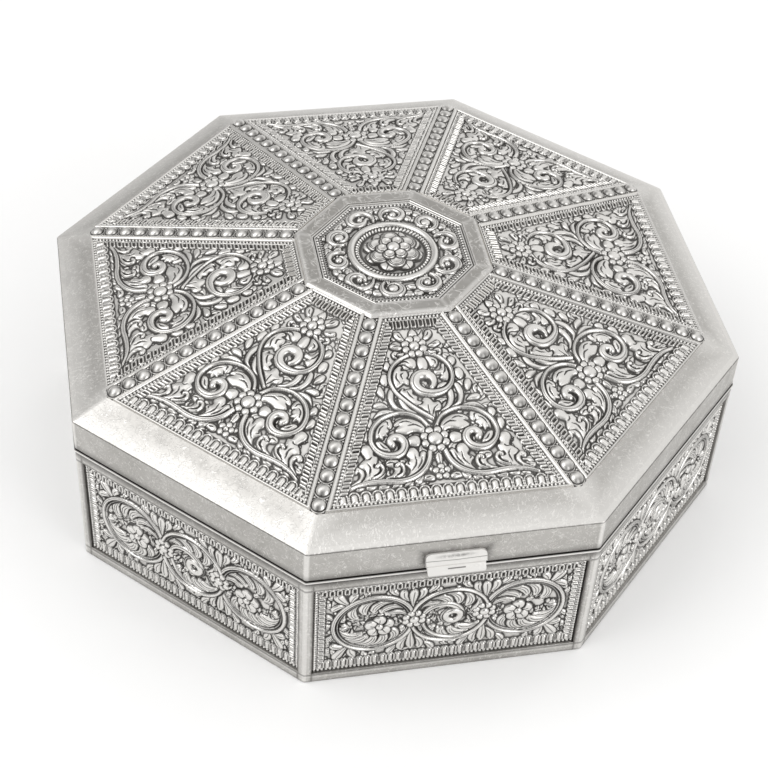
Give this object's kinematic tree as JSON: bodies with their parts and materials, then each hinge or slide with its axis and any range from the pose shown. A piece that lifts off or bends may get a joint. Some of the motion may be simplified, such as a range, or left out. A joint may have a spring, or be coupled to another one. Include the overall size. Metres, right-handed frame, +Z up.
{
  "type": "octagonal lidded box",
  "caption": "Low octagonal silver box with a hinged lid, repousse scroll panels on the lid and sides, bead strips and a central rosette.",
  "frame": {"origin": "middle of the resting face, under the centre of the octagon", "axes": "+Z up, -Y to the front side with the thumbpiece, +Y to the hinge"},
  "size_m": [0.2006, 0.2092, 0.078],
  "materials": {
    "plain_silver": "satin, finely scratched sterling silver",
    "chased_silver": "repousse sterling silver, bright on the relief and darkened by oxide in the ground"
  },
  "bodies": {
    "base": {"base_floor": "plain_silver", "inner_wall": "plain_silver", "base_rim": "plain_silver", "side_frame_1": "plain_silver", "side_frame_2": "plain_silver", "side_frame_3": "plain_silver", "side_frame_4": "plain_silver", "side_frame_5": "plain_silver", "side_frame_6": "plain_silver", "side_frame_7": "plain_silver", "side_frame_8": "plain_silver", "side_panel_1": "chased_silver", "side_panel_2": "chased_silver", "side_panel_3": "chased_silver", "side_panel_4": "chased_silver", "side_panel_5": "chased_silver", "side_panel_6": "chased_silver", "side_panel_7": "chased_silver", "side_panel_8": "chased_silver", "hinge_leaf_base": "plain_silver", "hinge_pin": "plain_silver"},
    "lid": {"lid_band": "plain_silver", "lid_border": "plain_silver", "lid_panel_1": "chased_silver", "lid_panel_2": "chased_silver", "lid_panel_3": "chased_silver", "lid_panel_4": "chased_silver", "lid_panel_5": "chased_silver", "lid_panel_6": "chased_silver", "lid_panel_7": "chased_silver", "lid_panel_8": "chased_silver", "bead_strip_1": "chased_silver", "bead_strip_2": "chased_silver", "bead_strip_3": "chased_silver", "bead_strip_4": "chased_silver", "bead_strip_5": "chased_silver", "bead_strip_6": "chased_silver", "bead_strip_7": "chased_silver", "bead_strip_8": "chased_silver", "centre_ring": "plain_silver", "centre_plate": "chased_silver", "centre_rosette": "chased_silver", "thumbpiece": "plain_silver", "hinge_leaf_lid": "plain_silver"}
  },
  "joints": [
    {"name": "lid_hinge", "type": "hinge", "parent": "base", "child": "lid", "pos_m": [0, 0.10275, 0.04575], "axis": [-1, 0, 0], "range_deg": [0, 105]}
  ]
}
